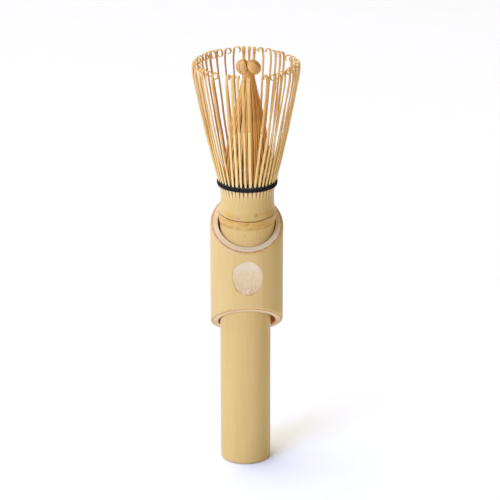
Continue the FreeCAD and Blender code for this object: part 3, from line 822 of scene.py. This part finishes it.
def tube(st, pts, nrms, r, key, sides=8, closed=True):
    n = len(pts) - 1 if closed else len(pts)
    start = len(st.v)
    s = 0.0
    for i in range(n):
        a = pts[(i - 1) % n] if closed or i else pts[0]
        b = pts[(i + 1) % n] if closed or i < n - 1 else pts[-1]
        t = (b - a).normalized()
        u = (nrms[i] - t * nrms[i].dot(t)).normalized()
        v = t.cross(u)
        if i:
            s += (pts[i] - pts[i - 1]).length
        for k in range(sides):
            q = 2 * math.pi * k / sides
            st.v.append(pts[i] + (u * math.cos(q) + v * math.sin(q)) * r)
            st.rib.append((s, q / 6.283, key))
    for i in range(n if closed else n - 1):
        m = (i + 1) % n
        for k in range(sides):
            l = (k + 1) % sides
            st.f.append((start + i * sides + k, start + i * sides + l, start + m * sides + l, start + m * sides + k))
            st.m.append(0)
    if not closed:
        st.f.append(tuple(start + k for k in reversed(range(sides))))
        st.f.append(tuple(start + (n - 1) * sides + k for k in range(sides)))
        st.m += [0, 0]


st = Strips()
cord_ring(st, 13.20, 134.62, 0.43, 40, 0.0, 0.02, 0.05, 1)
cord_ring(st, 13.30, 135.34, 0.44, 43, 1.1, 0.04, 0.26, 3)
cord_ring(st, 13.28, 136.42, 0.43, 41, 0.4, 0.10, 1.25, 5)
cord_ring(st, 12.62, 136.60, 0.44, 42, 2.0, 0.05, 0.75, 7)
cord_ring(st, 12.42, 137.15, 0.40, 42, 0.9, -0.12, 1.0, 9)
THREAD = st.make("thread_wraps", [M_THREAD])
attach(THREAD, "root")
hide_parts("binding_thread")


# ------------------------------------------------------------------ inner tines, gathered to the knot
INNER = [(135.2, 10.9), (137.0, 10.95), (145.0, 10.15), (153.0, 9.0), (160.0, 7.95), (167.5, 6.55), (172.0, 5.45), (177.0, 4.15), (181.0, 3.2),
         (184.5, 2.55), (187.0, 2.35)]


def inner_axis(z):
    return HEAD_X + (1.35 - HEAD_X) * smooth((z - 137.0) / 50.0)


st = Strips()
for k in range(76):
    deep = 0 if k < 40 else 1
    kk = k if deep == 0 else k - 40
    pitch = 360 / (36 if deep else 40)
    a0 = pitch * (kk + 0.5 * deep) + 1.8 * rnd("ia", k)
    turn = 10 + 8 * rnd("it", k)
    depth = deep * (1.0 + 0.3 * rnd("id", k)) + 0.22 * rnd("ie", k)
    pts, nrms, width, thick = [], [], [], []
    steps = 36
    top = 187.6
    lean = 0.10 * rnd("il", k)
    for i in range(steps):
        t = i / (steps - 1)
        z = 135.2 + (top - 135.2) * t
        r = spline_table(z, INNER) - depth * smooth((z - 136) / 10) * (1 - 0.5 * t)
        r = max(r, 0.7) + 0.09 * math.sin(5 * t + k * 2.1) * math.sin(math.pi * t)
        a = math.radians(a0 + turn * t * t + 3.0 * math.sin(3.1 * t + k) * t * (1 - t) * 3)
        out = Vector((math.sin(a), -math.cos(a), 0))
        yaw = 0.25 * rnd("iy", k)
        pts.append(Vector((inner_axis(z), 0, z)) + out * r)
        nrms.append(out + Vector((out.y, -out.x, 0)) * yaw)
        width.append(lerp_table(t, [(0, 0.95), (0.25, 0.98), (0.5, 1.05), (0.60, 1.0), (0.8, 0.95), (1.0, 0.85)]) * (1 + 0.16 * rnd("iw", k)))
        thick.append(lerp_table(t, [(0, 0.5), (0.55, 0.44), (0.6, 0.34), (1.0, 0.30)]))
    st.add(pts, nrms, width, thick, key=60 + k, skin_until=30.0 + 0.35 * rnd("is", k))
INNER_OB = st.make("inner_tine_bundle", [M_INNER, M_ISKIN, M_INNER])
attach(INNER_OB, "root")
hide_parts("inner_tines")


# ------------------------------------------------------------------ the knot: two lobes of wound strips
def lobe(st, centre, radii, pole_a, pole_b, face, count, spread, key, dark=(), lean=0.0):
    """Strips that run from one pole to the other over a rounded core, fanned about the pole axis."""
    c = Vector(centre)
    a, b = Vector(pole_a), Vector(pole_b)
    axis = (b - a).normalized()
    mid = (a + b) / 2
    f = Vector(face)
    f = (f - axis * f.dot(axis)).normalized()
    g = axis.cross(f)
    for i in range(count):
        u = (i / (count - 1) - 0.5) * math.radians(spread) + 0.05 * rnd("kn", key, i)
        d = f * math.cos(u) + g * math.sin(u)
        pts, nrms, width, thick = [], [], [], []
        steps = 26
        lift = 0.10 * rnd("kl", key, i) + (0.15 if i % 2 else -0.08)
        for j in range(steps):
            v = math.pi * (0.04 + 0.92 * j / (steps - 1))
            q = -axis * math.cos(v) + d * math.sin(v)
            p = Vector((q.x * radii[0], q.y * radii[1], q.z * radii[2]))
            n = Vector((q.x / radii[0], q.y / radii[1], q.z / radii[2])).normalized()
            p.x += lean * p.z
            pts.append(c + p + n * lift)
            nrms.append(n)
            width.append(0.30 + 0.60 * math.sin(v) ** 0.8)
            thick.append(0.42)
        # strips listed in dark take slot 2, the painted crease shade
        st.add(pts, nrms, width, thick, key=key + i, mat0=2 if i in dark else 0)


def core(st, centre, radii, key, lean=0.0):
    rows, cols = 18, 28
    c = Vector(centre)

    def point(v, u):
        q = Vector((math.sin(v) * math.cos(u), math.sin(v) * math.sin(u), math.cos(v)))
        st.v.append(c + Vector((q.x * radii[0] + lean * q.z * radii[2], q.y * radii[1], q.z * radii[2])))
        st.rib.append((q.z * 3, u, key))
        return len(st.v) - 1
    top, low = point(0.0, 0.0), point(math.pi, 0.0)
    start = len(st.v)
    for i in range(1, rows):
        for j in range(cols):
            point(math.pi * i / rows, 2 * math.pi * j / cols)
    for j in range(cols):
        k = (j + 1) % cols
        st.f.append((top, start + j, start + k))
        last = start + (rows - 2) * cols
        st.f.append((low, last + k, last + j))
        st.m += [1, 1]
    for i in range(rows - 2):
        for j in range(cols):
            a, b = start + i * cols + j, start + i * cols + (j + 1) % cols
            st.f.append((a, a + cols, b + cols, b))
            st.m.append(1)


st = Strips()
KX = 1.35
KZ = 188.75
# dark cores under the strips: painted shade in the gaps and between the two lobes
core(st, (KX - 2.15, 0.1, KZ), (2.85, 2.75, 2.85), 200, -0.10)
core(st, (KX + 2.20, 0.0, KZ), (2.95, 2.80, 2.80), 201, -0.16)
# strips 14 and 15 of the left lobe take the crease material, painted shade along the crevice between the lobes
lobe(st, (KX - 2.15, 0.1, KZ), (3.1, 3.0, 3.16), (0.5, -0.6, -2.5), (0.2, -0.5, 2.9), (-0.35, -1.0, 0.1), 22, 344, 210, (14, 15), lean=-0.10)
lobe(st, (KX + 2.15, -0.2, KZ), (3.15, 3.15, 3.10), (-2.5, -0.9, 2.3), (2.3, 0.3, -2.1), (0.10, -1, 0.30), 21, 346, 240, lean=-0.16)
KNOT = st.make("knot_wraps", [M_KNOT, M_CORE_SHADE, M_CREASE_SHADE])
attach(KNOT, "root")
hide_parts("inner_knot")


# ------------------------------------------------------------------ stage, light, camera
def stage():
    me = bpy.data.meshes.new("floor")
    r, n = 30.0, 96
    me.from_pydata([(r * math.cos(2 * math.pi * i / n), r * math.sin(2 * math.pi * i / n), 0) for i in range(n)], [], [tuple(range(n))])
    ob = bpy.data.objects.new("floor", me)
    col.objects.link(ob)
    m = Nodes("floor_paper")
    co = m.coords()
    f = m.noise(co, (40, 40, 40), 3.0)
    c = m.mix(m.ramp(f, 0.3, 0.7), (0.93, 0.935, 0.94, 1), (0.94, 0.945, 0.95, 1))
    me.materials.append(m.finish(c, 0.9, spec=0.1))
    return ob


stage()
world = bpy.data.worlds.new("studio")
bpy.context.scene.world = world
world.use_nodes = True
bg = world.node_tree.nodes["Background"]
bg.inputs["Strength"].default_value = 1.0
# a warm room above, a white surround near the horizon and below it
wt = world.node_tree
sky = wt.nodes.new("ShaderNodeTexCoord")
up = wt.nodes.new("ShaderNodeSeparateXYZ")
wt.links.new(sky.outputs["Generated"], up.inputs[0])
low = wt.nodes.new("ShaderNodeMapRange")
for k, v in (("From Min", 0.10), ("From Max", 0.14), ("To Min", 0.0), ("To Max", 1.0)):
    low.inputs[k].default_value = v
wt.links.new(up.outputs[2], low.inputs["Value"])
tone = wt.nodes.new("ShaderNodeMix")
tone.data_type = "RGBA"
tone.inputs[6].default_value = (1.02, 1.02, 1.02, 1)
tone.inputs[7].default_value = (0.11, 0.09, 0.035, 1)
wt.links.new(low.outputs["Result"], tone.inputs["Factor"])
wt.links.new(tone.outputs[2], bg.inputs["Color"])


def area(name, loc, target, size, power, colour=(1, 1, 1)):
    li = bpy.data.lights.new(name, "AREA")
    li.shape = "DISK"
    li.size = size
    li.energy = power
    li.color = colour
    ob = bpy.data.objects.new(name, li)
    col.objects.link(ob)
    ob.location = loc
    d = Vector(target) - Vector(loc)
    ob.rotation_mode = "QUATERNION"
    ob.rotation_quaternion = d.to_track_quat("-Z", "Y")
    return ob


area("key", (-0.83, -0.98, 0.58), (0, 0, 0.1), 0.95, 11.4, (0.82, 1.07, 2.10))
sun = bpy.data.lights.new("overhead", "SUN")
sun.energy = 2.92
sun.angle = math.radians(70)
sun.color = (1.0, 0.985, 0.975)
over = bpy.data.objects.new("overhead", sun)
col.objects.link(over)
over.rotation_mode = "QUATERNION"
over.rotation_quaternion = Vector((0.26, -0.24, -1.0)).to_track_quat("-Z", "Y")
bpy.context.scene.view_settings.view_transform = "Standard"
bpy.context.scene.view_settings.look = "None"

cam_data = bpy.data.cameras.new("camera")
cam = bpy.data.objects.new("camera", cam_data)
col.objects.link(cam)
E, D, T = math.radians(20.5), 1.138, Vector((0.0021, 0, 0.1022))
cam.location = T + Vector((0, -math.cos(E), math.sin(E))) * D
cam.rotation_euler = (math.pi / 2 - E, 0, 0)
cam_data.sensor_width = 36
cam_data.lens = 180
cam_data.clip_start, cam_data.clip_end = 0.05, 60
bpy.context.scene.camera = cam
